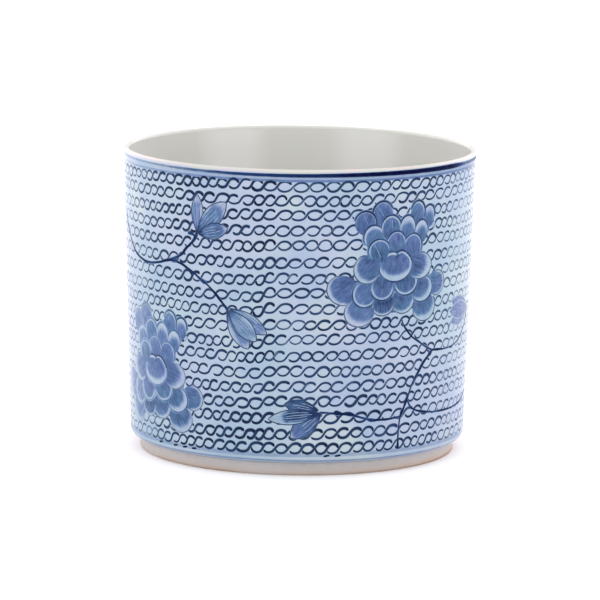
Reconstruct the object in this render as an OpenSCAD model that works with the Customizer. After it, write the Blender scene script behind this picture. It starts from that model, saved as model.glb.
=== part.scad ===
// Brush pot: a wheel-thrown porcelain cylinder with a turned foot ring, four glaze coats and
// three bands of cobalt that lie on the clay, under the outside glaze.
// +Z is up, and the origin is at the middle of the resting face, under the foot ring.

/* [Pot] */
// Outside diameter at the rim
rim_d = 200; // [160:1:260]
// Overall height, from the resting face to the top of the lip
height = 172; // [130:1:230]
// How much narrower the pot is above the lower corner than at the rim, on the diameter
taper = 9.4; // [2:0.2:16]
// Bend of the taper: 1 is a straight cone, more keeps the upper wall more upright
taper_bend = 1.2; // [1:0.05:2]

/* [Wall] */
// Wall thickness at the rim, with the glaze on both faces
wall_top = 3.2; // [3:0.1:6]
// Wall thickness just above the floor, with the glaze on both faces
wall_low = 6.6; // [4:0.1:9]
// Height of the rounded lip
lip_h = 2; // [1.5:0.1:3]
// Radius of the fillet between the inside wall and the floor
inner_fillet = 5; // [2:0.5:10]

/* [Foot] */
// Height of the bare foot ring
foot_h = 7; // [5:0.5:12]
// How far the foot ring is set in from the wall above it, on the radius
foot_inset = 5.9; // [3:0.1:10]
// Width of the foot ring, seen from below
foot_w = 12; // [8:0.5:20]
// Bevel on both edges of the resting face
foot_bevel = 0.8; // [0.3:0.1:2]
// Height of the rounded lower corner of the wall
corner_h = 4.5; // [3:0.5:10]

/* [Floor] */
// Thickness of the floor slab, without its glaze
floor_t = 7.4; // [5:0.2:12]

/* [Glaze and cobalt] */
// Thickness of each glaze coat
glaze_t = 0.6; // [0.4:0.05:0.8]
// Thickness of a cobalt band, which is hidden under the glaze
band_t = 0.25; // [0.15:0.05:0.3]
// Width of the dark line right under the lip
rim_line_w = 1.6; // [1:0.1:2.5]
// Width of the pale wash line under the dark line
rim_wash_w = 1.8; // [1:0.1:3]
// Bare gap between the dark line and the wash line
rim_gap = 1.2; // [0.5:0.1:3]
// Width of the wash line above the lower corner
foot_wash_w = 1.8; // [1:0.1:3]

/* [Hidden] */
$fn = 180;

wall_steps = 10;                    // straight stretches along the tapered wall
arc_step = 15;                      // degrees between points on a rounded edge
band_clear = 0.2;                   // gap between the lower corner and the wash line
rim_r = rim_d / 2;
low_r = rim_r - taper / 2;          // outside radius right above the lower corner
foot_r = low_r - foot_inset;
foot_in = foot_r - foot_w;
corner_top = foot_h + corner_h;
lip_z = height - lip_h;             // where the lip starts to round over
floor_z = foot_h + floor_t;         // top of the clay floor
fillet_z = floor_z + inner_fillet;
lip_mid = rim_r - wall_top / 2;     // radius of the middle of the lip

// Heights of the bands, each [lower edge, upper edge]
rim_line_z = [lip_z - rim_line_w, lip_z];
rim_wash_top = rim_line_z[0] - rim_gap;
rim_wash_z = [rim_wash_top - rim_wash_w, rim_wash_top];
foot_wash_z = [corner_top + band_clear, corner_top + band_clear + foot_wash_w];

// Outside radius of the finished wall, glaze included, at height z
function outside(z) =
    rim_r - (rim_r - low_r) * pow(max(0, lip_z - z) / (lip_z - corner_top), taper_bend);

// Wall thickness, glaze included, at height z
function thickness(z) = wall_top + (wall_low - wall_top) * (lip_z - z) / (lip_z - floor_z);

// Radii of the clay alone
function clay_out(z) = outside(z) - glaze_t;
function clay_in(z) = outside(z) - thickness(z) + glaze_t;
bore_r = clay_in(fillet_z);

function reverse(list) = [for (i = [len(list) - 1:-1:0]) list[i]];

// Points [r, z] of part of an ellipse about [cr, cz], from angle a0 to a1
function arc(cr, cz, ar, az, a0, a1) =
    let (n = ceil(abs(a1 - a0) / arc_step))
    [for (i = [0:n]) let (a = a0 + (a1 - a0) * i / n) [cr + ar * cos(a), cz + az * sin(a)]];

// The lower corner, and the lip, at a depth below the glazed surface
function corner(depth) =
    arc(foot_r, corner_top, foot_inset - depth, corner_h - depth, -90, 0);
function lip(depth, a0, a1) =
    arc(lip_mid, lip_z, wall_top / 2 - depth, lip_h - depth, a0, a1);

// The fillet inside, at a depth below the glazed surface, from the floor up to the wall
function fillet(depth) =
    let (r = inner_fillet - glaze_t + depth)
    arc(bore_r - inner_fillet, fillet_z, r, r, -90, 0);

// Heights along the plain wall between its two washes
plain_z = [for (i = [0:wall_steps])
    foot_wash_z[1] + (rim_wash_z[0] - foot_wash_z[1]) * i / wall_steps];
inside_z = [for (i = [1:wall_steps]) fillet_z + (lip_z - fillet_z) * i / wall_steps];

// Both edges of a band where it stands on the clay, and with the pigment's thickness added
function band_edges(b) = [for (z = b) [clay_out(z), z]];
function band_step(b) = [
    [clay_out(b[0]), b[0]], [clay_out(b[0]) + band_t, b[0]],
    [clay_out(b[1]) + band_t, b[1]], [clay_out(b[1]), b[1]]];

// The clay's outer face from the foot up, plain or with the bands standing on it
function clay_face(banded) = concat(
    [[foot_r - glaze_t, foot_h]],
    corner(glaze_t),
    banded ? band_step(foot_wash_z) : band_edges(foot_wash_z),
    [for (i = [1:wall_steps - 1]) [clay_out(plain_z[i]), plain_z[i]]],
    banded ? band_step(rim_wash_z) : band_edges(rim_wash_z),
    banded ? band_step(rim_line_z) : band_edges(rim_line_z));

// The glazed outer face, from the lip down to the foot
function glazed_face() = concat(
    [[outside(lip_z), lip_z], [outside(rim_wash_z[0]), rim_wash_z[0]]],
    [for (i = [wall_steps - 1:-1:1]) [outside(plain_z[i]), plain_z[i]]],
    [[outside(foot_wash_z[1]), foot_wash_z[1]]],
    reverse(corner(0)));

// The inside face at a depth below the glaze, from the fillet's foot up to the lip
function inside_face(depth) = concat(
    fillet(depth),
    [for (z = inside_z) [clay_in(z) - glaze_t + depth, z]]);

// The turned ring that the pot stands on, bare of glaze
module foot_ring() {
    color("tan")
        rotate_extrude()
            polygon([
                [foot_in + foot_bevel, 0], [foot_r - foot_bevel, 0], [foot_r, foot_bevel],
                [foot_r, foot_h], [foot_in, foot_h], [foot_in, foot_bevel]]);
}

// The slab that closes the bottom of the cylinder
module floor() {
    color("linen")
        translate([0, 0, foot_h])
            cylinder(h = floor_t, r = bore_r);
}

// The thrown wall, with its rounded lower corner, inside fillet and lip
module wall() {
    color("whitesmoke")
        rotate_extrude()
            polygon(concat(
                [[bore_r, foot_h]],
                clay_face(false),
                lip(glaze_t, arc_step, 180 - arc_step),
                reverse(inside_face(glaze_t)),
                [[bore_r, floor_z]]));
}

// The coat in the shallow recess inside the foot ring
module base_glaze() {
    color("azure")
        translate([0, 0, foot_h - glaze_t])
            cylinder(h = glaze_t, r = foot_in);
}

// The pale blue coat over the painted wall
module outer_glaze() {
    color("lightsteelblue")
        rotate_extrude()
            polygon(concat(clay_face(true), glazed_face(), [[foot_r, foot_h]]));
}

// The coat over the floor and the inside wall
module inner_glaze() {
    color("gainsboro")
        rotate_extrude()
            polygon(concat(
                [[0, floor_z]],
                inside_face(glaze_t),
                reverse(inside_face(0)),
                [[0, floor_z + glaze_t]]));
}

// The thin cream coat over the crest of the lip
module lip_glaze() {
    color("oldlace")
        rotate_extrude()
            polygon(concat(lip(glaze_t, 0, 180), lip(0, 180, 0)));
}

// A ring of cobalt pigment between two heights
module cobalt_band(b) {
    rotate_extrude()
        polygon(band_step(b));
}

module rim_line() {
    color("midnightblue") cobalt_band(rim_line_z);
}

module rim_wash() {
    color("slategray") cobalt_band(rim_wash_z);
}

module foot_wash() {
    color("slategray") cobalt_band(foot_wash_z);
}

foot_ring();
floor();
wall();
base_glaze();
outer_glaze();
inner_glaze();
lip_glaze();
rim_line();
rim_wash();
foot_wash();
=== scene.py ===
"""Brush pot: thrown porcelain with a pale blue glaze, painted in cobalt with chain rows and sprays.

The painting is laid out on the unrolled wall in millimetres: s is the arc round the rim, counted
from the front (-Y) towards +X, and z is the height. wall_points() turns such places into points.
"""
import math
import random

import bpy
import numpy as np
from mathutils import Matrix, Vector


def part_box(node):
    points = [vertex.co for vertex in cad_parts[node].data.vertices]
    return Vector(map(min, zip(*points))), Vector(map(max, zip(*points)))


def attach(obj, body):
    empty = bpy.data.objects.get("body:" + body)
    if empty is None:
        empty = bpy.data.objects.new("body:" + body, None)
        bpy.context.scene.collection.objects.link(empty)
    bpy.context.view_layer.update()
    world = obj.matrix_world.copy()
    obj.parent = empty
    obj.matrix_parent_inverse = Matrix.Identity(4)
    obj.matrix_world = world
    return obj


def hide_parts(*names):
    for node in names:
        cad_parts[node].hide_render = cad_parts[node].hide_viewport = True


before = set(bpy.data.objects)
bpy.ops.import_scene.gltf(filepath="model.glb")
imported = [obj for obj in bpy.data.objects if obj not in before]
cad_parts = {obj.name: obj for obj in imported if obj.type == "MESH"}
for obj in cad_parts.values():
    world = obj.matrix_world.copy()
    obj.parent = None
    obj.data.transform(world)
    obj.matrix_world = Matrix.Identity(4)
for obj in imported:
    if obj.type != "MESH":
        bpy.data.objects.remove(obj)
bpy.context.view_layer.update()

MM = 0.001
TURN = 2 * math.pi


# ---------------------------------------------------------------- the pot's dimensions, in mm

def low_mm(node, axis):
    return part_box(node)[0][axis] / MM


def high_mm(node, axis):
    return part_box(node)[1][axis] / MM


X, Z = 0, 2
GLAZE_T = 0.6     # thickness of a glaze coat
FOOT_INSET = 5.9  # the foot is set in this far from the wall
TAPER_BEND = 1.2  # 1 would be a straight cone
RIM_R = high_mm("outer_glaze", X)
HEIGHT = high_mm("lip_glaze", Z)
LIP_Z = low_mm("lip_glaze", Z)
INSIDE_RIM_R = high_mm("inner_glaze", X) - GLAZE_T
LIP_MID = (RIM_R + INSIDE_RIM_R) / 2  # radius of the middle of the lip
FLOOR_TOP = low_mm("inner_glaze", Z) + GLAZE_T
FOOT_R = high_mm("foot_ring", X)
FOOT_H = high_mm("foot_ring", Z)
FOOT_IN = high_mm("base_glaze", X)
BASE_Z = low_mm("base_glaze", Z)
BAND_CLEAR = 0.2  # gap between the lower corner and the foot wash
CORNER_TOP = low_mm("foot_wash", Z) - BAND_CLEAR
LOW_R = FOOT_R + FOOT_INSET  # outside radius right above the lower corner
INSIDE_LOW_R = high_mm("floor", X) - GLAZE_T
FILLET = 4.4          # inside fillet over the floor, glazed
GIRTH = TURN * RIM_R  # once round the rim
HALF_GIRTH = GIRTH / 2


def outside_r(z):
    """Radius of the glazed outside at heights z, from the foot to the lip."""
    taper = np.clip((LIP_Z - z) / (LIP_Z - CORNER_TOP), 0, 1) ** TAPER_BEND
    wall = RIM_R - (RIM_R - LOW_R) * taper
    drop = np.clip((CORNER_TOP - z) / (CORNER_TOP - FOOT_H), 0, 1)
    corner = FOOT_R + (LOW_R - FOOT_R) * np.sqrt(1 - drop ** 2)
    return np.where(z < CORNER_TOP, corner, wall)


def inside_r(z):
    """Radius of the glazed inside wall at heights z, from the floor's fillet to the lip."""
    up = (z - FLOOR_TOP - FILLET) / (LIP_Z - FLOOR_TOP - FILLET)
    thickness = (LOW_R - INSIDE_LOW_R) * (1 - up) + (RIM_R - INSIDE_RIM_R) * up
    return outside_r(z) - thickness


def throwing(angle, z):
    """How far the thrown wall stands off true at that angle and height, in mm."""
    fade = np.clip((z - FOOT_H) / 12, 0, 1)
    oval = 0.10 * np.sin(2 * angle + 0.6) + 0.06 * np.sin(3 * angle + 2.1)
    rings = 0.035 * np.sin(z / 2.7 + angle * 2) + 0.05 * np.sin(z / 8.5 + 1.4 - angle)
    dents = 0.05 * np.sin(5 * angle + z / 19) * np.sin(z / 23 + 0.4)
    return fade * (oval + rings + dents)


def wall_points(s, z, lift):
    """Points on the wall and their normals, in metres, for arrays of places and lifts in mm."""
    def surface(s, z):
        angle = s / RIM_R
        r = outside_r(z) + throwing(angle, z)
        return np.stack([r * np.sin(angle), -r * np.cos(angle), z], axis=-1)

    step = 0.05
    along = surface(s + step, z) - surface(s - step, z)
    up = surface(s, z + step) - surface(s, z - step)
    normal = np.cross(along, up)
    normal /= np.linalg.norm(normal, axis=-1, keepdims=True)
    return (surface(s, z) + normal * lift[:, None]) * MM, normal


# ---------------------------------------------------------------- meshes

def spread(low, high, count):
    """Both ends and the even steps between them."""
    return [low + (high - low) * i / count for i in range(count + 1)]


def new_object(name, points, faces, material):
    """A mesh with one material, given to the frame's only body."""
    mesh = bpy.data.meshes.new(name)
    mesh.from_pydata([tuple(p) for p in points], [], faces)
    mesh.validate()
    mesh.materials.append(material)
    piece = bpy.data.objects.new(name, mesh)
    bpy.context.collection.objects.link(piece)
    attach(piece, "root")
    return piece


SHARP_EDGE = math.radians(35)  # coats are smooth but for sharper turns


def lathe(name, profile, material, steps=720, wobble=throwing):
    """A closed outline of (radius, height) points turned about Z into a solid coat."""
    points, rows = [], []
    for r, z in profile:
        if r == 0:
            rows.append([len(points)] * steps)
            points.append((0, 0, z * MM))
            continue
        rows.append(list(range(len(points), len(points) + steps)))
        for angle in spread(0, TURN, steps)[:-1]:
            radius = r + wobble(angle, z) if wobble else r
            points.append((radius * MM * math.sin(angle), -radius * MM * math.cos(angle), z * MM))
    faces = []
    for row, after in zip(rows, rows[1:] + rows[:1]):
        for i in range(steps):
            j = (i + 1) % steps
            corners = [row[i], row[j], after[j], after[i]]
            face = [v for k, v in enumerate(corners) if v != corners[k - 1]]
            if len(face) > 2:
                faces.append(face)
    piece = new_object(name, points, faces, material)
    piece.data.shade_smooth()
    piece.data.set_sharp_from_angle(angle=SHARP_EDGE)
    return piece


def ellipse(cr, cz, ar, az, start, end, count):
    """Outline points along part of an ellipse, between two angles in degrees."""
    points = []
    for angle in spread(start, end, count):
        a = math.radians(angle)
        points.append((cr + ar * math.cos(a), cz + az * math.sin(a)))
    return points


# ---------------------------------------------------------------- node materials

def live_socket(sockets, name):
    """The socket of that name that the node's present type uses."""
    return next(socket for socket in sockets if socket.name == name and socket.enabled)


class Shader:
    """A Principled material whose nodes are added by short calls."""

    def __init__(self, name, **sockets):
        self.material = bpy.data.materials.new(name)
        self.material.use_nodes = True
        self.tree = self.material.node_tree
        self.surface = self.tree.nodes["Principled BSDF"]
        for socket, value in sockets.items():
            self.surface.inputs[socket.replace("_", " ")].default_value = value
        self.place = self.tree.nodes.new("ShaderNodeTexCoord").outputs["Object"]

    def link(self, output, node, socket):
        self.tree.links.new(output, node.inputs[socket])

    def feed(self, value, socket):
        """Sets a constant on the socket, or links an output to it."""
        if isinstance(value, (int, float, tuple)):
            socket.default_value = value
        else:
            self.tree.links.new(value, socket)

    def attribute(self, name):
        node = self.tree.nodes.new("ShaderNodeAttribute")
        node.attribute_name = name
        return node

    def stretched(self, source, scale):
        node = self.tree.nodes.new("ShaderNodeMapping")
        node.inputs["Scale"].default_value = scale
        self.link(source, node, "Vector")
        return node.outputs["Vector"]

    def noise(self, scale, detail=3.0, source=None):
        node = self.tree.nodes.new("ShaderNodeTexNoise")
        node.inputs["Scale"].default_value = scale
        node.inputs["Detail"].default_value = detail
        self.link(source or self.place, node, "Vector")
        return node.outputs["Fac"]

    def remap(self, value, low, high, to_low=0.0, to_high=1.0):
        node = self.tree.nodes.new("ShaderNodeMapRange")
        ends = {"From Min": low, "From Max": high, "To Min": to_low, "To Max": to_high}
        for socket, end in ends.items():
            node.inputs[socket].default_value = end
        self.link(value, node, "Value")
        return node.outputs["Result"]

    def math(self, operation, a, b=0.0):
        node = self.tree.nodes.new("ShaderNodeMath")
        node.operation = operation
        self.feed(a, node.inputs[0])
        self.feed(b, node.inputs[1])
        return node.outputs["Value"]

    def ramp(self, value, stops):
        """A colour ramp; stops are (position, colour), with each colour a tint() value."""
        node = self.tree.nodes.new("ShaderNodeValToRGB")
        elements = node.color_ramp.elements
        while len(elements) < len(stops):
            elements.new(0.5)
        for element, (position, colour) in zip(elements, stops):
            element.position = position
            element.color = colour
        self.link(value, node, "Fac")
        return node.outputs["Color"]

    def mix(self, amount, a, b):
        node = self.tree.nodes.new("ShaderNodeMix")
        node.data_type = "RGBA"
        for name, value in (("Factor", amount), ("A", a), ("B", b)):
            self.feed(value, live_socket(node.inputs, name))
        return live_socket(node.outputs, "Result")

    def bump(self, height, strength, distance):
        node = self.tree.nodes.new("ShaderNodeBump")
        node.inputs["Strength"].default_value = strength
        node.inputs["Distance"].default_value = distance
        self.link(height, node, "Height")
        self.link(node.outputs["Normal"], self.surface, "Normal")

    def radius_mm(self):
        """Distance from the pot's axis."""
        node = self.tree.nodes.new("ShaderNodeVectorMath")
        node.operation = "LENGTH"
        self.link(self.stretched(self.place, (1 / MM, 1 / MM, 0)), node, "Vector")
        return node.outputs["Value"]

    def along_mm(self, axis):
        node = self.tree.nodes.new("ShaderNodeSeparateXYZ")
        self.link(self.place, node, "Vector")
        return self.math("MULTIPLY", node.outputs[axis], 1 / MM)

    def height_mm(self):
        return self.along_mm("Z")

    def finish(self, colour, roughness=None):
        self.link(colour, self.surface, "Base Color")
        if roughness is not None:
            self.link(roughness, self.surface, "Roughness")
        return self.material


def tint(red, green, blue):
    """A display colour, 0 to 255, as the linear colour that nodes hold."""
    def linear(value):
        v = value / 255
        return v / 12.92 if v <= 0.04045 else ((v + 0.055) / 1.055) ** 2.4
    return (linear(red), linear(green), linear(blue), 1.0)


# A fired glaze, whose shine is all in its coat
GLOSS = {"Roughness": 0.18, "Coat_Weight": 1.0, "Coat_IOR": 1.255, "Coat_Roughness": 0.05,
         "Specular_IOR_Level": 0.0}


def wall_tint(shader, patchy=0.6):
    """The bare glaze of the outside wall: pale blue that pools towards green and lavender, and darker
    just over the foot, partly from pooled glaze and partly as painted shade.
    """
    pooling = shader.remap(shader.noise(38, 4), 0.35, 0.65)
    drift = shader.remap(shader.noise(14, 2), 0.38, 0.62)
    cool = shader.mix(pooling, tint(147, 168, 186), tint(160, 177, 189))
    warm = shader.mix(pooling, tint(151, 166, 190), tint(164, 173, 193))
    patches = shader.remap(shader.noise(31, 2), 0.56, 0.70, 0.0, patchy)
    ground = shader.mix(patches, shader.mix(drift, cool, warm), tint(174, 188, 187))
    # Darker over the foot: partly glaze pooled thick there, partly painted shade under the lower corner
    foot_pool_and_shade = shader.remap(shader.height_mm(), FOOT_H + 2.2, FOOT_H + 0.4)
    return shader.mix(foot_pool_and_shade, ground, tint(138, 146, 164))


def glaze_bump(shader):
    """The faint orange peel of a fired glaze."""
    shader.bump(shader.noise(420, 2), 0.06, 0.0004)


def glaze_wall():
    shader = Shader("glaze_wall", **GLOSS)
    roughness = shader.remap(shader.noise(60), 0.3, 0.7, 0.18, 0.27)
    glaze_bump(shader)
    return shader.finish(wall_tint(shader), roughness)


INSIDE_TINT = tint(206, 206, 201)
HIGHLIGHT_GAP = 78.0  # distance between the painted highlight streaks inside


def glaze_inside():
    """The lining: greyish white, darker towards its sides as painted shade, and with paler streaks down
    the upper wall that are painted highlights.
    """
    shader = Shader("glaze_inside", **GLOSS)
    clouds = shader.remap(shader.noise(22, 4), 0.35, 0.65)
    lining = shader.mix(clouds, INSIDE_TINT, tint(210, 210, 206))
    # Painted shade: the lining darkens towards its left and right sides, along X
    sides = shader.remap(shader.math("ABSOLUTE", shader.along_mm("X")), 45, 80)
    side_shaded_lining = shader.mix(sides, lining, tint(198, 198, 193))
    # Painted highlights: pale vertical streaks spaced along X, standing for reflections of light in the
    # glaze
    wave = shader.math("COSINE", shader.math("MULTIPLY", shader.along_mm("X"), TURN / HIGHLIGHT_GAP))
    hairs = shader.noise(16, 2, shader.stretched(shader.place, (1, 1, 0.06)))
    streaks = shader.remap(hairs, 0.3, 0.55, 0.75, 1)
    painted_highlights = shader.math("MULTIPLY", shader.remap(wave, 0.2, -0.8), streaks)
    painted_highlights = shader.math("MULTIPLY", painted_highlights, shader.remap(shader.height_mm(), 30, 110))
    glaze_bump(shader)
    return shader.finish(shader.mix(painted_highlights, side_shaded_lining, tint(220, 220, 218)))


def glaze_lip():
    """The lip: worn along its crest, and bluish on its outer flank."""
    shader = Shader("glaze_lip", **GLOSS)
    crest = shader.remap(shader.height_mm(), LIP_Z + 0.6, LIP_Z + 1.4)
    wear = shader.remap(shader.noise(70, 3), 0.45, 0.65)
    worn = shader.mix(wear, tint(196, 196, 190), tint(206, 194, 188))
    drift = shader.remap(shader.noise(50, 2), 0.4, 0.6)
    flank = shader.mix(drift, tint(178, 178, 196), tint(180, 184, 180))
    outward = shader.remap(shader.radius_mm(), LIP_MID - 0.6, LIP_MID - 0.2)
    glaze_bump(shader)
    return shader.finish(shader.mix(outward, INSIDE_TINT, shader.mix(crest, flank, worn)))


def glaze_base():
    shader = Shader("glaze_base", **GLOSS)
    clouds = shader.remap(shader.noise(30, 4), 0.35, 0.65)
    colour = shader.mix(clouds, tint(178, 188, 192), tint(192, 198, 198))
    pits = shader.remap(shader.noise(700, 1), 0.70, 0.74)
    glaze_bump(shader)
    return shader.finish(shader.mix(pits, colour, tint(120, 100, 80)))


def bare_clay():
    """The foot: turned clay, paler under the glaze, and warm and soiled where it stood."""
    shader = Shader("bare_clay", Roughness=0.75)
    height = shader.height_mm()
    grain = shader.noise(260, 4)
    clouds = shader.remap(shader.noise(26, 3), 0.35, 0.65)
    clay = shader.mix(clouds, tint(179, 173, 174), tint(172, 168, 165))
    flush = shader.math("MULTIPLY", shader.remap(height, 2.0, FOOT_H), shader.remap(grain, 0.3, 0.6))
    flushed = shader.mix(flush, clay, tint(188, 182, 180))
    patchy = shader.remap(shader.noise(17, 3), 0.4, 0.6, 0.35, 1)
    warmth = shader.math("MULTIPLY", shader.remap(height, 4.6, 1.2), patchy)
    warmed = shader.mix(warmth, flushed, tint(179, 161, 146))
    soil = shader.math("MULTIPLY", shader.remap(height, 1.7, 0.3), patchy)
    soiled = shader.mix(soil, warmed, tint(142, 112, 88))
    turning = shader.noise(1.0, 2, shader.stretched(shader.place, (4, 4, 1800)))
    shader.bump(turning, 0.25, 0.0006)
    return shader.finish(soiled, shader.remap(grain, 0.3, 0.7, 0.68, 0.85))


def fired_body():
    """The porcelain under the glaze."""
    shader = Shader("fired_body", Roughness=0.6)
    grain = shader.remap(shader.noise(340, 4), 0.35, 0.65)
    return shader.finish(shader.mix(grain, tint(236, 233, 226), tint(226, 222, 214)))


def cobalt(name, full, cool, warm, grain_strength, patchy=0.6, coat=1.0):
    """Painted cobalt. Its attributes: ink is the pigment's strength, hue leans from cool to warm,
    and grain runs across and along the brush marks."""
    shader = Shader(name, **(GLOSS | {"Coat_Weight": coat}))
    ink = shader.attribute("ink").outputs["Fac"]
    lean = shader.attribute("hue").outputs["Fac"]
    marks = shader.attribute("grain").outputs["Vector"]
    hairs = shader.noise(1.0, 3, shader.stretched(marks, (2.2, 0.16, 1.0)))
    cloud = shader.noise(300, 2)
    streak = shader.remap(hairs, 0.3, 0.7, -grain_strength, grain_strength)
    blot = shader.remap(cloud, 0.3, 0.7, -grain_strength / 2, grain_strength / 2)
    uneven = shader.math("MULTIPLY", shader.math("ADD", streak, blot), shader.remap(ink, 0, 0.3))
    strength = shader.math("ADD", ink, uneven)
    drift = shader.remap(shader.noise(170, 2), 0.35, 0.65, -0.35, 0.35)
    middle = shader.mix(shader.remap(shader.math("ADD", lean, drift), 0.0, 1.0), cool, warm)
    pigment = shader.mix(shader.remap(strength, 0.55, 1.0), middle, full)
    cover = shader.remap(strength, 0.0, 0.55)
    glaze_bump(shader)
    return shader.finish(shader.mix(cover, wall_tint(shader, patchy), pigment))


# ---------------------------------------------------------------- painting

def step_up(value, low, high):
    """0 below low, 1 above high, and smooth between."""
    t = min(1.0, max(0.0, (value - low) / (high - low)))
    return t * t * (3 - 2 * t)


def right_side(s):
    """1 round the right of the front, falling to 0 at its left."""
    return 0.5 + 0.5 * math.sin(s / RIM_R)


def left_side(s):
    """1 at the far left, where the painter's lines run pale and thin, and 0 by the front."""
    return max(0.0, math.cos(s / RIM_R + 1.75)) ** 2


def flank(s):
    """1 round both sides of the pot, where the rows are thinner, and 0 over the front and back."""
    return step_up(abs(math.sin(s / RIM_R)), 0.7, 0.95)


class Painting:
    """One painted piece: closed flakes of pigment, a hair's breadth over the glaze."""

    DEPTH = 0.03   # a flake reaches this far into the glaze, mm
    FEATHER = 0.3  # share of its lift that a line keeps at its edges
    # How much a flake's ink fades at the far left: partly the painter's paler wash there, partly painted
    # reflection of the glaze washing that side out
    FAR_LEFT_FADE = 0.5
    # Across a brush line: the place, as a share of its width, and the share of its ink
    PROFILE = [(-0.60, 0.0), (-0.38, 0.88), (0.0, 1.0), (0.38, 0.88), (0.60, 0.0)]
    # Sizes of the rings that fill a flake, close together near its edge
    RINGS = [1.0, 0.985, 0.96, 0.93, 0.90, 0.86, 0.81, 0.75, 0.68, 0.60, 0.50, 0.38, 0.25, 0.12]

    def __init__(self):
        self.rows = []  # s, z, lift, ink, hue, and grain's three numbers
        self.faces = []

    def add(self, s, z, lift, ink, hue, across, along, seed):
        self.rows.append((s, z, lift, ink, hue, across, along, seed))
        return len(self.rows) - 1

    def stroke(self, path, widths, inks, lift, seed, hue=0.5):
        """A soft-edged brush line along path, with a width and an ink strength at each point."""
        path = np.array(path, float)
        tangent = np.gradient(path, axis=0)
        tangent /= np.linalg.norm(tangent, axis=1, keepdims=True) + 1e-9
        along = np.concatenate([[0], np.cumsum(np.linalg.norm(np.diff(path, axis=0), axis=1))])
        rings = []
        for (s, z), (ts, tz), width, ink, run in zip(path, tangent, widths, inks, along):
            ring = []
            for side, share in self.PROFILE:
                off = side * width
                height = lift if share else lift * self.FEATHER
                ring.append(self.add(s - tz * off, z + ts * off, height, ink * share, hue,
                                     off, run, seed))
            ring.append(self.add(s, z, -self.DEPTH, ink, hue, 0.0, run, seed))
            rings.append(ring)
        for ring, after in zip(rings, rings[1:]):
            for k in range(len(ring)):
                m = (k + 1) % len(ring)
                self.faces.append([ring[k], after[k], after[m], ring[m]])
        self.faces.append(rings[0])
        self.faces.append(rings[-1][::-1])

    def flake(self, outline, centre, wash_at, lift, lean, seed):
        """A filled shape: its outline shrunk in rings to centre; wash_at(rho, ds, dz) gives ink, hue."""
        cs, cz = centre
        cos, sin = math.cos(lean), math.sin(lean)

        def vertex(s, z, height, rho):
            ds, dz = s - cs, z - cz
            ink, hue = wash_at(rho, ds, dz)
            # Paler at the far left: partly the painter's wash, partly painted reflection
            ink *= 1 - self.FAR_LEFT_FADE * left_side(s) ** 2
            return self.add(s, z, height, ink, hue, ds * cos + dz * sin, dz * cos - ds * sin, seed)

        rings = []
        for rho in self.RINGS:
            rings.append([vertex(cs + (s - cs) * rho, cz + (z - cz) * rho, lift, rho)
                          for s, z in outline])
        hub = vertex(cs, cz, lift, 0.0)
        under = [vertex(s, z, -self.DEPTH, 1.0) for s, z in outline]
        count = len(outline)
        for ring, after in zip([under] + rings, rings):
            for i in range(count):
                j = (i + 1) % count
                self.faces.append([ring[i], ring[j], after[j], after[i]])
        for i in range(count):
            self.faces.append([rings[-1][i], rings[-1][(i + 1) % count], hub])
        self.faces.append(under[::-1])

    def build(self, name, material, slot, *replaced):
        """The piece, with each vertex shaded as the wall under it, so that paint has no relief."""
        table = np.array(self.rows)
        points, normals = wall_points(table[:, 0], table[:, 1], table[:, 2])
        piece = new_object(name, points, self.faces, material)
        mesh = piece.data
        mesh.shade_smooth()
        for attribute, values in (("ink", table[:, 3]), ("hue", table[:, 4])):
            layer = mesh.attributes.new(attribute, "FLOAT", "POINT")
            layer.data.foreach_set("value", values.astype(np.float32))
        grain = mesh.attributes.new("grain", "FLOAT_VECTOR", "POINT")
        grain.data.foreach_set("vector", table[:, 5:8].astype(np.float32).ravel())
        mesh.normals_split_custom_set_from_vertices([tuple(n) for n in normals])
        if replaced:
            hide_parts(*replaced)
        return piece


def smooth_path(points, gap):
    """A Catmull-Rom curve through the points, sampled about every gap mm."""
    pts = [np.array(p, float) for p in points]
    pts = [2 * pts[0] - pts[1]] + pts + [2 * pts[-1] - pts[-2]]
    path = []
    for a, b, c, d in zip(pts, pts[1:], pts[2:], pts[3:]):
        count = max(1, round(float(np.linalg.norm(c - b)) / gap))
        for i in range(count):
            t = i / count
            path.append(0.5 * (2 * b + (c - a) * t + (2 * a - 5 * b + 4 * c - d) * t ** 2
                               + (3 * b - a - 3 * c + d) * t ** 3))
    path.append(pts[-2])
    return path


def pressed(path, width, start=1.0, end=1.0, tip=0.35):
    """Widths along path: from start to end times width, rounded off over the first and last mm."""
    path = np.array(path, float)
    steps = np.linalg.norm(np.diff(path, axis=0), axis=1)
    run = np.concatenate([[0], np.cumsum(steps)])
    total = run[-1]
    widths = []
    for d in run:
        t = d / total
        near = min(d, total - d) / (0.6 * width)
        rounding = math.sqrt(max(0.0, 1 - (1 - min(1.0, near)) ** 2))
        widths.append(width * (start + (end - start) * t) * (tip + (1 - tip) * rounding))
    return widths


# ---- the chain rows

SEAM = -16.0       # where the painter's rows begin and end
LOOP_H = 2.65      # half the height of a loop
LINE_W = 1.13      # width of a brush line
STROKE_STEP = 0.8  # gap between the points along a brush line
# Height of each row right of the seam, and how far it sinks left of the seam
ROWS = [(162.5, -0.5), (155, 0.1), (146.8, 0.6), (138.2, 0.4), (130, 1), (120.5, 0.8),
        (111.9, 1.7), (103.6, 2.9), (94.6, 2.3), (85.7, 2.1), (77.5, 2.7), (68.4, 1.5),
        (59.8, 1.5), (50.9, 1.5), (42.7, 1.9), (33.3, 0.6), (24.6, 0.8), (16.4, 0.2)]


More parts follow.
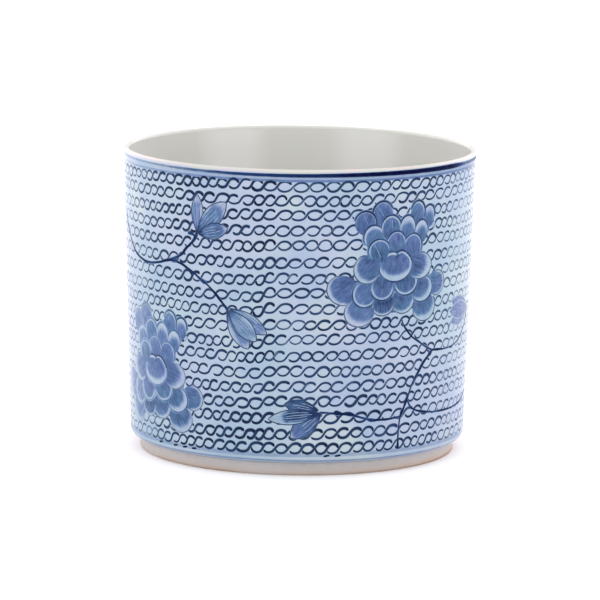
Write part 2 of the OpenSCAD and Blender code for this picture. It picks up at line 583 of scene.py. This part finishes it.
def row_height(row, turn, phase):
    """Height of a row at an arc counted from the seam, with its slow wander."""
    z, sink = ROWS[row]
    left = step_up(turn, 0.55 * GIRTH, 0.75 * GIRTH)
    high_left = 1.6 * left_side(SEAM + turn) * (1 - step_up(row, 5, 9))
    wander = 0.22 * math.sin(turn / 31 + phase) + 0.16 * math.sin(turn / 11 + 2 * phase)
    return z - sink * left - high_left + wander * (1 - step_up(row, 16, 17))


def right_of_seam(turn):
    """1 where the rows begin, right of the seam, falling to 0 further round."""
    return 1 - step_up(turn, 30, 150)


def chain_stroke(rng, pitch, loop_h, right):
    """One lazy S: a cup at the bottom left, a diagonal, and a hook over the top right."""
    lower = rng.uniform(6, 46) - 12 * right
    upper = rng.uniform(4, 46) - 12 * right
    radius = pitch * rng.uniform(0.42, 0.48)
    slant = 0.144 * right * rng.uniform(0.6, 1.2)
    path = []
    for angle in spread(180 + lower, 325, 6):
        a = math.radians(angle)
        path.append((-pitch / 2 + radius * math.cos(a), loop_h * math.sin(a)))
    path.append((0.0, 0.0))
    for angle in spread(145, upper, 6):
        a = math.radians(angle)
        path.append((pitch / 2 + radius * math.cos(a), loop_h * math.sin(a)))
    return [(x + slant * y, y) for x, y in path]


def chain_pitches(rng, phase):
    """Widths of a row's loops, which fill the girth exactly."""
    pitches = []
    while sum(pitches) < GIRTH - 4:
        turn = sum(pitches)
        slow = 1 + 0.11 * math.sin(turn / 25 + phase)
        pitches.append((6.9 + 0.5 * right_of_seam(turn)) * slow * rng.uniform(0.84, 1.17))
    fit = GIRTH / sum(pitches)
    return [pitch * fit for pitch in pitches]


def boldness(row, s):
    """How boldly a row is drawn at s: more at the top, the upper left and low on the front."""
    upper_left = (1 - step_up(row, 4, 8)) * max(0.0, -math.sin(2 * s / RIM_R))
    low_front = step_up(row, 13, 16) * max(0.0, math.cos(2 * s / RIM_R))
    return upper_left + low_front + 0.4 * (row < 2)


def chain_row(row):
    """One row of lazy S strokes, once round the pot from the seam."""
    rng = random.Random(100 + row)
    phase = rng.uniform(0, TURN)
    painting = Painting()
    turn = 0.0
    for count, pitch in enumerate(chain_pitches(rng, phase)):
        middle = turn + pitch / 2
        right = right_of_seam(turn)
        closing = step_up(turn, GIRTH - 16, GIRTH - 8)
        z = row_height(row, middle, phase) + rng.uniform(-0.25, 0.25)
        loop_h = LOOP_H * rng.uniform(0.92, 1.08)
        points = []
        for x, y in chain_stroke(rng, pitch, loop_h, max(right, closing)):
            # The last loop climbs to meet the first
            climb = ROWS[row][1] * step_up(middle + x, GIRTH - 7, GIRTH)
            points.append((SEAM + middle + x, z + y + climb))
        path = smooth_path(points, STROKE_STEP)
        bold = boldness(row, SEAM + middle)
        side = flank(SEAM + middle)
        strong = 0.98 - 0.08 * right + rng.uniform(-0.22, 0.05) + 0.08 * closing
        strong += 0.12 * bold - 0.40 * side
        width = LINE_W * rng.uniform(0.86, 1.14) * (1 + 0.1 * closing + 0.16 * (row > 12))
        width *= 1 + 0.13 * bold - 0.2 * side
        widths = pressed(path, width, rng.uniform(0.8, 1.15), rng.uniform(1.0, 1.4))
        shares = [0.74 + 0.26 * abs(2 * t - 1) ** 1.5 for t in spread(0, 1, len(path) - 1)]
        inks = [strong * share for share in shares]
        painting.stroke(path, widths, inks, 0.010 + 0.004 * (count % 3), rng.uniform(0, 50))
        turn += pitch
    return painting


# ---- the blossoms

# Petals about the blossom's heart: place, half width, half height, lean, the way its pale side
# faces, layer, strength of the wash, width of the pale rim, depth of the pale cap, and how far
# its hue leans from teal to violet. Angles are in degrees, sizes in mm.
PETALS = [
    (23.0, 27.0, 4.7, 6.4, -8, 85, 0, 0.57, 0.8, 3.0, 0.6),
    (14.3, 29.8, 5.3, 6.6, 0, 65, 1, 0.60, 0.5, 1.4, 0.2),
    (-9.5, 30.5, 6.4, 7.1, 0, 115, 0, 0.62, 0.6, 0.6, 0.7),
    (-20.0, 26.0, 6.4, 6.5, 15, 75, 1, 0.64, 0.6, 0.0, 0.8),
    (17.3, 19.0, 4.8, 6.3, -5, 92, 2, 0.58, 0.7, 3.2, 0.3),
    (7.2, 21.5, 5.2, 7.0, 0, 90, 2, 0.60, 0.7, 3.4, 0.4),
    (-4.0, 22.5, 6.2, 6.8, 0, 95, 2, 0.63, 0.8, 0.5, 0.3),
    (-14.5, 17.5, 6.1, 6.8, 10, 110, 2, 0.58, 0.9, 1.8, 0.3),
    (-0.3, 13.3, 6.2, 6.9, 0, 95, 3, 0.62, 0.5, 0.0, 0.5),
    (11.3, 11.5, 6.1, 6.6, 0, 70, 3, 0.62, 0.55, 0.0, 0.6),
    (-11.3, 10.3, 6.4, 6.0, 10, 110, 6, 0.64, 0.8, 0.0, 0.2),
    (-18.5, 0.3, 8.0, 8.0, 0, 220, 4, 0.65, 1.1, 2.6, 0.4),
    (17.0, 0.0, 9.2, 7.3, 0, -18, 4, 0.66, 1.0, 4.4, 0.65),
    (-32.5, -11.0, 9.4, 8.2, -20, 205, 0, 0.64, 0.8, 2.2, 0.7),
    (31.3, -11.0, 7.6, 7.1, 0, -5, 0, 0.60, 1.2, 1.4, 0.3),
    (-19.5, -13.5, 7.1, 7.1, 0, 225, 2, 0.60, 1.0, 0.8, 0.4),
    (-8.7, -10.5, 7.1, 6.7, 0, -100, 3, 0.66, 1.0, 0.0, 0.5),
    (7.0, -8.3, 8.0, 7.0, 0, -65, 3, 0.68, 1.0, 0.0, 0.2),
    (19.2, -13.0, 8.1, 7.1, 0, -40, 2, 0.66, 1.0, 3.3, 0.2),
    (-22.5, -23.8, 9.0, 7.9, 0, 235, 1, 0.57, 0.8, 3.2, 0.6),
    (-8.0, -20.0, 7.3, 6.3, 0, -95, 1, 0.78, 1.0, 1.4, 0.3),
    (5.5, -18.8, 7.9, 7.1, 0, -55, 1, 0.67, 0.9, 2.0, 0.1),
    (21.8, -23.8, 9.1, 7.8, 0, -65, 0, 0.64, 0.8, 3.6, 0.2),
]
HEART = (-0.3, 0.5, 10.5, 7.7, 0, -90, 5, 0.62, 1.1, 3.2, 0.7)
# Washes that fill in between the petals: place, half width, half height
BACKDROPS = [(0, 17, 16, 11), (0, -4, 25, 15), (0, -16, 24, 9)]
# Touches over the petals, mostly pale: points, width, layer, ink
GLEAMS = [
    ([(-8.8, 5.6), (-5.8, 7.6), (-2.6, 8.2), (-0.2, 7.6)], 1.6, 5.6, 0.12),
    ([(0.8, 7.8), (2.8, 8.6), (5.2, 8.0), (7.8, 6.0), (9.7, 3.0), (10.2, 0)], 0.9, 5.6, 0.2),
    ([(1.6, 7.4), (0.4, 6.2), (-0.8, 5.2)], 1.0, 5.7, 1.0),
    ([(-9.6, 5.9), (-6, 8.6), (-2.6, 9.4), (0.3, 8.7), (2.8, 9.7), (5.6, 9.1), (8.8, 6.8), (10.9, 3.4)],
     1.3, 5.2, 1.0),
    ([(-14.5, 14), (-12.5, 10.5), (-10.2, 6.2)], 0.4, 6.4, 0.3),
    ([(-13, 11.5), (-11.5, 9.2)], 0.4, 6.4, 0.3),
    ([(-12.5, 34.5), (-10.8, 32), (-9, 29.5)], 0.5, 0.4, 0.45),
    ([(-3.6, 27), (-3.2, 22.5)], 0.5, 2.4, 0.40),
    ([(-21.5, 31), (-18.5, 25)], 0.5, 1.4, 0.50),
    ([(26, 20.5), (28, 23.5)], 1.8, 0.4, 0.2),
    ([(-1, 17.5), (-0.8, 14.5)], 0.5, 3.4, 0.45),
]
CROWN_DZ = 25      # petals above this make the blossom's dark crown
LAYER = 0.012      # how much each layer of paint lies over the last
PETAL_LIFT = 0.03  # lift of the lowest layer
BACKDROP_LIFT = 0.018
BACKDROP_INK_HUE = (0.80, 0.3)
PETAL_STEPS = 60


def oval(cs, cz, half_w, half_h, lean, notch=0.0):
    """Outline of a petal about (cs, cz), with a notch in its top edge if it has one."""
    points = []
    for a in spread(0, TURN, PETAL_STEPS)[:-1]:
        dent = 1 - notch * math.exp(-((a - 1.5) / 0.17) ** 2)
        x, y = half_w * dent * math.cos(a), half_h * dent * math.sin(a)
        points.append((cs + x * math.cos(lean) - y * math.sin(lean),
                       cz + x * math.sin(lean) + y * math.cos(lean)))
    return points


def petal_wash(half_w, half_h, lean, facing, wash, rim, cap, hue, turn):
    """Ink and hue on a petal: a pale rim and cap on the side that it faces, deeper at its root."""
    size = math.sqrt(half_w * half_h)
    push_s, push_z = cap * math.cos(facing), cap * math.sin(facing)

    def wash_at(rho, ds, dz):
        side = 0.5 + 0.5 * math.cos(math.atan2(dz, ds) - facing)
        edge = size * (1 - rho)
        pale = (1 - step_up(edge, rim * 0.6, rim * 1.5)) * step_up(side, 0.22, 0.62)
        ground = 0.15
        if cap:
            s, z = ds + push_s, dz + push_z
            x = (s * math.cos(lean) + z * math.sin(lean)) / half_w
            y = (z * math.cos(lean) - s * math.sin(lean)) / half_h
            beyond = size * (math.hypot(x, y) - 1)
            crown = step_up(beyond, -0.5 * cap, 0.5 * cap)
            pale = max(pale, crown)
            ground -= 0.06 * crown
        depth = wash * (1.15 - 0.25 * rho * side)
        brim = 0.16 * step_up(rho, 0.975, 1.0)
        lean_hue = hue + 0.3 * math.sin(ds / 4.2 + turn) * math.cos(dz / 4.6 - turn)
        return depth * (1 - pale) + (ground + brim) * pale, lean_hue
    return wash_at


def edge_line(painting, outline, centre, facing, reach, lift, width, strong):
    """A dark line along a petal's edge, up to reach degrees each way from where it faces."""
    arc = []
    for s, z in outline:
        away = (math.atan2(z - centre[1], s - centre[0]) - facing + TURN / 2) % TURN - TURN / 2
        arc.append((away, s, z))
    kept = sorted(p for p in arc if abs(p[0]) < math.radians(reach))
    path = [(s, z) for away, s, z in kept]
    widths = pressed(path, width, tip=0.2)
    inks = [strong * (0.72 + 0.28 * math.cos(away)) * (1 - 0.9 * left_side(s)) for away, s, z in kept]
    painting.stroke(path, widths, inks, lift, 7 * facing, 0.2)


def blossom(name, heart_s, heart_z, seed, wash_paint, line_paint):
    """A many-petalled blossom: petals in layers, and a thin dark line round each pale rim."""
    rng = random.Random(seed)
    petals, lines = Painting(), Painting()
    for ds, dz, half_w, half_h in BACKDROPS:
        outline = oval(heart_s + ds, heart_z + dz, half_w, half_h, 0)
        petals.flake(outline, (heart_s + ds, heart_z + dz), lambda rho, x, y: BACKDROP_INK_HUE,
                     BACKDROP_LIFT, 0.0, seed)
    for petal in PETALS + [HEART]:
        ds, dz, half_w, half_h, lean, facing, layer, wash, rim, cap, hue = petal
        notch = 0.28 if petal == HEART else 0.0
        lean, facing = math.radians(lean), math.radians(facing)
        cs, cz = heart_s + ds, heart_z + dz
        outline = oval(cs, cz, half_w, half_h, lean, notch)
        lift = PETAL_LIFT + LAYER * layer
        wash += rng.uniform(-0.02, 0.02)
        wash_at = petal_wash(half_w, half_h, lean, facing, wash, rim, cap, hue, rng.uniform(0, TURN))
        petals.flake(outline, (cs, cz), wash_at, lift, facing - TURN / 4, rng.uniform(0, 50))
        under, over = lift - LAYER / 4, lift + LAYER / 2
        if dz > CROWN_DZ:
            edge_line(petals, outline, (cs, cz), facing, 100, under, 2.0, 1.0)
            edge_line(lines, outline, (cs, cz), facing, 95, over, 0.85, 0.9)
            continue
        if layer in (2, 3) or layer > 1 and abs(ds) < 16:
            edge_line(petals, outline, (cs, cz), facing, 110, under, 2.6, 1.0)
        if layer < 2 or layer == 4:
            edge_line(lines, outline, (cs, cz), facing, 105, over, 0.7, 0.6)
    for points, width, layer, ink in GLEAMS:
        path = smooth_path([(heart_s + s, heart_z + z) for s, z in points], STROKE_STEP)
        lift = PETAL_LIFT + LAYER * layer
        petals.stroke(path, pressed(path, width), [ink] * len(path), lift, seed)
    petals.build(name + "_petals", wash_paint, "cobalt")
    lines.build(name + "_outlines", line_paint, "cobalt")


# ---- the buds and branches, on the front half; the back half repeats them

# Bud petals: root, tip, half width, layer, strength of the wash, how far up it is filled, the
# pale share of its width (positive on the left, seen from the root), and its hue
BUD_PETALS = {
    "bud_upper": [((-60, 134.5), (-60, 155.5), 3.9, 0, 0.50, 0.74, -0.24, 0.9),
                  ((-60, 134), (-41.5, 152.5), 5.4, 1, 0.60, 0.74, 0.14, 0.2),
                  ((-59.5, 133.6), (-40.5, 138), 4.4, 2, 0.68, 0.80, -0.08, 0.3)],
    "bud_middle": [((-39.5, 93.5), (-17.5, 80.3), 4.5, 0, 0.52, 0.84, 0.16, 0.5),
                   ((-41, 92), (-28.2, 71.5), 5.2, 1, 0.54, 0.80, -0.24, 0.6),
                   ((-40, 92.5), (-23.6, 76), 4.9, 2, 0.44, 0.82, 0.18, 0.2)],
    "bud_lower": [((12.5, 38), (-7, 41.5), 3.9, 0, 0.84, 1.0, 0.05, -0.2),
                  ((14, 36.5), (-3.5, 22.5), 5.5, 1, 0.66, 0.84, 0.0, 0.5),
                  ((13.5, 36), (-16.5, 32.6), 4.2, 2, 0.86, 0.64, 0.16, -0.2)],
    "bud_side": [((135, 85), (107, 92), 4.8, 0, 0.54, 1.0, 0.0, 0.9),
                 ((135, 85), (107, 80), 4.8, 1, 0.50, 1.0, 0.0, 0.8),
                 ((135, 85), (105, 86.5), 5.0, 2, 0.56, 1.0, 0.0, 1.0)],
}
# Branches: the points that the brush passes, and its width there
BRANCHES = [
    [(-60.3, 135, 1.2), (-60.9, 132.5, 2.3), (-62.5, 129.8, 1.7), (-65.5, 126.8, 1.3),
     (-68.5, 124.3, 1.5), (-70.5, 121.8, 1.7), (-74, 119.6, 1.4), (-79, 117.4, 1.8), (-86, 115.5, 1.2)],
    [(-66.8, 133.0, 0.9), (-65, 133.6, 2.3), (-63.2, 133.1, 1.5), (-61.6, 131.6, 0.8)],
    [(-74, 117, 1.2), (-82, 116.6, 1.5), (-91, 114.2, 1.2), (-101, 112.8, 1.4), (-110, 113.8, 1.2),
     (-118, 116.2, 1.4), (-124, 120, 1.2), (-131, 127, 1.4), (-139, 138, 1.1)],
    [(-80, 117, 1.1), (-72, 115.7, 1.3), (-67, 113.5, 1.3), (-62.5, 111.4, 1.1), (-58.7, 108.8, 1.5),
     (-56, 107.2, 2.3), (-54.6, 106.6, 1.6), (-52.7, 105.0, 1.0), (-49, 101.8, 1.3),
     (-45.8, 98.5, 1.5), (-43.3, 95.7, 1.2), (-40.2, 92.3, 2.0)],
    [(62.5, 87, 1.0), (64, 83.5, 1.0), (67, 80, 1.3), (71, 76, 1.0), (76, 73, 1.2), (80, 70.5, 1.0),
     (84, 68.5, 1.3), (88, 67, 1.0), (93, 66.5, 1.5), (100, 66, 0.9), (108, 66.2, 0.9),
     (115, 67.5, 0.8), (122, 70.5, 1.0), (130, 77, 1.1), (133.5, 85, 1.6)],
    [(88, 66.8, 1.2), (86, 65.2, 3.0), (84, 63.5, 1.6), (80, 60, 2.0), (77, 56, 1.8), (73.5, 52, 1.1),
     (71, 47, 1.3), (69.5, 43, 1.2), (68, 40, 2.0), (66.5, 36.5, 1.4), (65, 34, 2.1), (64, 31, 1.3),
     (63.5, 28, 1.1), (63, 22, 1.3), (63, 18, 1.3), (63, 14, 2.2)],
    [(69, 40.5, 1.1), (71.5, 36.5, 1.3), (76, 34, 1.1), (82, 32.5, 1.4), (90, 31.3, 1.0),
     (100, 30.7, 1.3), (112, 30.5, 1.0), (122, 31.2, 1.3), (132, 33, 1.0), (141, 37, 1.0)],
    [(65, 32, 1.1), (60, 31.3, 1.1), (54, 30.9, 1.3), (50, 31, 1.2), (46.5, 31.1, 1.6), (44, 31.3, 2.1),
     (41, 32.2, 1.3), (35, 34, 1.3), (31, 35.4, 2.3), (27, 35.6, 1.3), (22.8, 36.4, 2.7),
     (21, 36.1, 1.2), (17, 36.6, 1.0), (12.8, 36.6, 1.9)],
]


def direction(root, tip):
    """Unit vector from root to tip."""
    length = math.dist(root, tip)
    return (tip[0] - root[0]) / length, (tip[1] - root[1]) / length


def leaf(root, tip, half_w):
    """Outline of a pointed petal from root to tip, widest past its middle."""
    rs, rz = root
    length = math.dist(root, tip)
    us, uz = direction(root, tip)
    side = []
    for t in spread(0, 1, PETAL_STEPS // 2):
        side.append((t, half_w * math.sin(math.pi * t ** 1.15) ** 0.75))
    there = [(rs + us * length * t - uz * w, rz + uz * length * t + us * w) for t, w in side]
    back = [(rs + us * length * t + uz * w, rz + uz * length * t - us * w) for t, w in side]
    return back + there[-2:0:-1]


def bud_wash(heading, length, half_w, wash, filled, margin, hue):
    """Ink and hue on a bud's petal, which is pale at its tip and along one side."""
    def wash_at(rho, ds, dz):
        up = (ds * math.cos(heading) + dz * math.sin(heading)) / length + 0.5
        left = (dz * math.cos(heading) - ds * math.sin(heading)) / half_w
        pale = step_up(up + 0.12 * left * left, filled, filled + 0.16)
        if margin:
            edge = 1 - 2 * abs(margin)
            pale = max(pale, step_up(left * math.copysign(1, margin), edge - 0.15, edge + 0.2)
                       * step_up(up, 0.1, 0.35))
        depth = wash * (1.12 - 0.2 * up) + 0.35 * (1 - step_up(up, 0.02, 0.24))
        return depth * (1 - pale) + 0.17 * pale, hue + 0.2 * math.sin(up * 9)
    return wash_at


def bud_veins(petals, root, tip, half_w, wash, lift, rng):
    """Pale hairs scraped along a bud's petal."""
    us, uz = direction(root, tip)
    for side in (-0.4, -0.12, 0.1, 0.38):
        points = []
        start = rng.uniform(0.15, 0.3)
        for t in spread(start, start + rng.uniform(0.35, 0.55), 3):
            bow = side * half_w * 1.4 * math.sin(math.pi * t)
            points.append((root[0] + (tip[0] - root[0]) * t - uz * bow,
                           root[1] + (tip[1] - root[1]) * t + us * bow))
        path = smooth_path(points, 0.9)
        widths = pressed(path, rng.uniform(0.3, 0.42), 0.7, 1.0)
        petals.stroke(path, widths, [wash * 0.28] * len(path), lift, rng.uniform(0, 50))


def bud(name, shift, seed, wash_paint, line_paint):
    """A bud's petals in layers, with outlines and, except at the sides, pale hairs."""
    rng = random.Random(seed)
    petals, lines = Painting(), Painting()
    for root, tip, half_w, layer, wash, filled, margin, hue in BUD_PETALS[name]:
        root, tip = (root[0] + shift, root[1]), (tip[0] + shift, tip[1])
        heading = math.atan2(tip[1] - root[1], tip[0] - root[0])
        length = math.dist(root, tip)
        centre = ((root[0] + tip[0]) / 2, (root[1] + tip[1]) / 2)
        wash_at = bud_wash(heading, length, half_w, wash, filled, margin, hue)
        outline = leaf(root, tip, half_w)
        lift = PETAL_LIFT + LAYER * layer
        petals.flake(outline, centre, wash_at, lift, heading - TURN / 4, rng.uniform(0, 50))
        closed = outline + outline[:1]
        widths = pressed(closed, 0.6, tip=0.3)
        inks = [rng.uniform(0.68, 0.85) * (1 - 0.8 * flank(root[0]))] * len(closed)
        lines.stroke(closed, widths, inks, lift + LAYER / 2, rng.uniform(0, 50))
        if flank(root[0]) < 0.5:
            bud_veins(petals, root, tip, half_w, wash, lift + 0.4 * LAYER, rng)
    petals.build(name + "_petals_" + str(seed), wash_paint, "cobalt")
    lines.build(name + "_outlines_" + str(seed), line_paint, "cobalt")


def branches(name, shift, seed, paint):
    rng = random.Random(seed)
    painting = Painting()
    for points in BRANCHES:
        run = smooth_path([(s + shift, z, w) for s, z, w in points], STROKE_STEP)
        path = [(s, z) for s, z, w in run]
        widths = []
        for (s, z, w), rounded in zip(run, pressed(path, 1.0)):
            widths.append((1.12 - 0.14 * right_side(s)) * w * rounded)
        inks = [0.96 + 0.2 * math.sin(i / 5.3 + seed) for i in range(len(path))]
        painting.stroke(path, widths, inks, 0.026 + rng.uniform(0, 0.003), rng.uniform(0, 50))
    painting.build(name, paint, "cobalt")


# ---- the banded lines

def band(name, z, width, ink, wander, lift, paint, slot, *replaced):
    """A line run round on the wheel at height z; width and ink are functions of the arc s."""
    painting = Painting()
    overlap = 4.0
    path, widths, inks = [], [], []
    for turn in spread(0.0, GIRTH + overlap, 720):
        path.append((SEAM + turn, z + wander * math.sin(turn / 37 + z) / 2))
        widths.append(width(SEAM + turn))
        inks.append(ink(SEAM + turn))
    painting.stroke(path, widths, inks, lift, 0.0)
    return painting.build(name, paint, slot, *replaced)


def dry_brush(s):
    """1 where the brush ran dry on the rim's dark line, past the front's right, and 0 elsewhere."""
    return step_up(s, 98, 120) * (1 - step_up(s, 165, 230))


def banding(line_paint, wash_paint):
    band("rim_halo", LIP_Z - 2.5, lambda s: 3.4,
         lambda s: 0.16 + 0.2 * right_side(s) - 0.16 * left_side(s),
         0.2, 0.006, wash_paint, "cobalt_wash")
    band("rim_line_painted", LIP_Z - 1.06,
         lambda s: (1.35 + 1.45 * right_side(s)) * (1 - 0.4 * left_side(s)) * (1 - 0.3 * dry_brush(s)),
         lambda s: 0.56 + 0.49 * step_up(right_side(s), 0.15, 0.8) - 0.6 * left_side(s)
         - 0.65 * dry_brush(s),
         0.2, 0.016, line_paint, "cobalt", "rim_line")
    band("rim_wash_painted", LIP_Z - 4.0, lambda s: 1.5,
         lambda s: 0.54 + 0.12 * right_side(s) - 0.30 * left_side(s), 0.3, 0.012,
         wash_paint, "cobalt_wash", "rim_wash")
    band("foot_wash_painted", 12.6, lambda s: 2.4, lambda s: 0.30, 0.4, 0.008,
         wash_paint, "cobalt_wash", "foot_wash")
    band("foot_line_painted", 9.3, lambda s: 1.1, lambda s: 0.40, 0.2, 0.010,
         wash_paint, "cobalt_wash")


DASHES = (17.5, 24.2, -64, -71, -78.5, -92, 170, 178, 260, 301)


def dashes(line_paint):
    """A few short touches of the brush under the lowest row."""
    painting = Painting()
    for s in DASHES:
        path = smooth_path([(s - 1.7, 11.9), (s + 1.9, 12.4)], 0.6)
        painting.stroke(path, pressed(path, 1.15), [1.0] * len(path), 0.02, s)
    painting.build("foot_dashes", line_paint, "cobalt")


# ---------------------------------------------------------------- the pot

# Each coat is a closed solid that stands for its CAD node.

def outer_coat():
    outer = [(FOOT_R, FOOT_H)] + ellipse(FOOT_R, CORNER_TOP, FOOT_INSET, CORNER_TOP - FOOT_H,
                                         -88, -3, 16)
    outer += [(outside_r(z), z) for z in spread(CORNER_TOP, LIP_Z, 104)]
    outer += [(RIM_R - GLAZE_T, LIP_Z)]
    outer += [(outside_r(z) - GLAZE_T, z) for z in spread(LIP_Z, CORNER_TOP, 8)[1:]]
    outer += [(FOOT_R - 0.1, FOOT_H + GLAZE_T)]
    skin = lathe("outer_glaze_skin", outer, glaze_wall())
    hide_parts("outer_glaze")


def lip_coat():
    half_t = (RIM_R - INSIDE_RIM_R) / 2
    lip_h = HEIGHT - LIP_Z
    lip = ellipse(LIP_MID, LIP_Z, half_t, lip_h, 0, 180, 22)
    lip += ellipse(LIP_MID, LIP_Z, half_t - GLAZE_T, lip_h - GLAZE_T, 180, 0, 10)
    crest = lathe("lip_glaze_skin", lip, glaze_lip())
    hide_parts("lip_glaze")


def inner_coat():
    fillet_z = FLOOR_TOP + FILLET
    under_floor = FLOOR_TOP - GLAZE_T + 0.05
    inner = [(0, FLOOR_TOP)] + [(r, FLOOR_TOP + 0.15 * math.sin(r / 7)) for r in spread(8, 78, 14)]
    inner += ellipse(INSIDE_LOW_R - FILLET, fillet_z, FILLET, FILLET, -90, 0, 12)[:-1]
    inner += [(inside_r(z), z) for z in spread(fillet_z, LIP_Z, 60)]
    inner += [(inside_r(z) + GLAZE_T, z) for z in spread(LIP_Z, fillet_z, 8)]
    inner += [(INSIDE_LOW_R - FILLET, under_floor), (0, under_floor)]
    lining = lathe("inner_glaze_skin", inner, glaze_inside(), 360)
    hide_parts("inner_glaze")


def base_coat():
    base = [(0, BASE_Z)] + [(r, BASE_Z + 0.12 * (r / FOOT_IN) ** 6) for r in spread(10, FOOT_IN, 12)]
    base += [(FOOT_IN, FOOT_H), (0, FOOT_H)]
    under = lathe("base_glaze_skin", base, glaze_base(), 180, wobble=None)
    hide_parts("base_glaze")


def foot_ring():
    bevel = 0.8
    foot = [(FOOT_IN + 1.2, 0)] + [(r, 0) for r in spread(FOOT_IN + 3, FOOT_R - 3, 6)]
    foot += ellipse(FOOT_R - bevel, bevel, bevel, bevel, -90, 0, 6)
    foot += [(FOOT_R + 0.05 * math.sin(z * 2.2), z) for z in spread(1.4, FOOT_H, 14)]
    foot += [(FOOT_IN, FOOT_H)]
    foot += ellipse(FOOT_IN + bevel, bevel, bevel, bevel, 180, 270, 6)
    ring = lathe("foot_ring_turned", foot, bare_clay(), 360, wobble=None)
    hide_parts("foot_ring")


def clay_body():
    """The wall and the floor keep their CAD solids."""
    body = fired_body()
    for node in ("wall", "floor"):
        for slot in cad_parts[node].material_slots:
            slot.material = body


def paint_pot():
    """All the painting; the back repeats the front's sprays."""
    line_paint = cobalt("cobalt_line", tint(0, 12, 42), tint(28, 58, 88), tint(32, 56, 96), 0.10,
                        coat=0.7)
    rim_paint = cobalt("cobalt_rim", tint(0, 0, 42), tint(30, 58, 100), tint(34, 58, 104),
                       0.10, coat=0.2)
    branch_paint = cobalt("cobalt_branch", tint(2, 24, 58), tint(38, 70, 110), tint(40, 64, 112), 0.16,
                          coat=0.35)
    petal_paint = cobalt("cobalt_petal", tint(12, 38, 80), tint(71, 105, 143), tint(81, 102, 150),
                         0.16, 0.1)
    wash_paint = cobalt("cobalt_wash", tint(40, 62, 112), tint(84, 110, 146), tint(90, 110, 156),
                        0.07)
    for row in range(len(ROWS)):
        chain_row(row).build("chain_row_%02d" % (row + 1), line_paint, "cobalt")
    for side, shift, seed in (("front", 0.0, 6), ("back", HALF_GIRTH, 5)):
        blossom(side + "_high_blossom", 57.7 + shift, 116, seed, petal_paint, line_paint)
        blossom(side + "_low_blossom", -96.0 + shift, 51.5, seed + 1, petal_paint, line_paint)
        branches(side + "_branches", shift, 5, branch_paint)
    for k, name in enumerate(BUD_PETALS):
        bud(name, 0.0, 10 + k, petal_paint, line_paint)
        bud(name, HALF_GIRTH, 20 + k, petal_paint, line_paint)
    banding(rim_paint, wash_paint)
    dashes(line_paint)


# ---------------------------------------------------------------- camera, light and floor

def camera():
    """Far back with a long lens, looking down a little, level to within a degree."""
    data = bpy.data.cameras.new("camera")
    data.sensor_width = 36
    data.lens = 271.8
    eye = bpy.data.objects.new("camera", data)
    bpy.context.collection.objects.link(eye)
    down, roll = math.radians(9.345), math.radians(0.71)
    turn = Matrix.Rotation(TURN / 4 - down, 4, "X") @ Matrix.Rotation(roll, 4, "Z")
    rim = RIM_R * MM
    place = (0.0102 * rim, -25.49 * rim, 5.033 * rim)
    eye.matrix_world = Matrix.Translation(place) @ turn
    bpy.context.scene.camera = eye


def softbox(name, place, target, width, height, power, tone=(1, 1, 1)):
    data = bpy.data.lights.new(name, "AREA")
    data.shape = "RECTANGLE"
    data.size, data.size_y = width, height
    data.energy = power
    data.color = tone
    lamp = bpy.data.objects.new(name, data)
    lamp.visible_camera = False
    bpy.context.collection.objects.link(lamp)
    aim = Vector(place) - Vector(target)
    lamp.matrix_world = Matrix.Translation(place) @ aim.to_track_quat("Z", "Y").to_matrix().to_4x4()


def studio():
    """White surroundings, a broad panel overhead, two softboxes and two fills."""
    world = bpy.data.worlds.new("studio")
    world.use_nodes = True
    world.node_tree.nodes["Background"].inputs["Color"].default_value = (1, 1, 1, 1)
    world.node_tree.nodes["Background"].inputs["Strength"].default_value = 1.0
    bpy.context.scene.world = world
    bpy.context.scene.view_settings.view_transform = "Standard"
    data = bpy.data.lights.new("sky_panel", "SUN")
    data.energy = 0.7
    data.angle = math.radians(120)
    panel = bpy.data.objects.new("sky_panel", data)
    panel.rotation_euler = (math.radians(30), 0, math.radians(-15))
    bpy.context.collection.objects.link(panel)
    middle = (0, 0, 0.1)
    softbox("softbox_left", (-1.6, -1.1, 0.9), middle, 0.9, 1.4, 4)
    softbox("softbox_right", (1.7, -0.9, 0.9), middle, 0.9, 1.4, 4)
    softbox("fill_left", (-1.7, 1.5, 0.9), middle, 3.0, 2.0, 32, (1, 0.88, 1))
    softbox("fill_right", (1.8, 1.4, 0.9), middle, 3.0, 2.0, 35, (1, 0.88, 1))


def paper_floor():
    """The pale sheet that the pot stands on."""
    mesh = bpy.data.meshes.new("floor_sheet")
    half = 20.0
    mesh.from_pydata([(-half, -half, 0), (half, -half, 0), (half, half, 0), (-half, half, 0)], [],
                     [(0, 1, 2, 3)])
    sheet = bpy.data.objects.new("floor_sheet", mesh)
    bpy.context.collection.objects.link(sheet)
    shader = Shader("floor_paper", Roughness=0.9)
    fibres = shader.remap(shader.noise(3, 2), 0.3, 0.7)
    mesh.materials.append(shader.finish(shader.mix(fibres, tint(252, 252, 252), tint(254, 254, 254))))


camera()
studio()
paper_floor()
outer_coat()
lip_coat()
inner_coat()
base_coat()
foot_ring()
clay_body()
paint_pot()
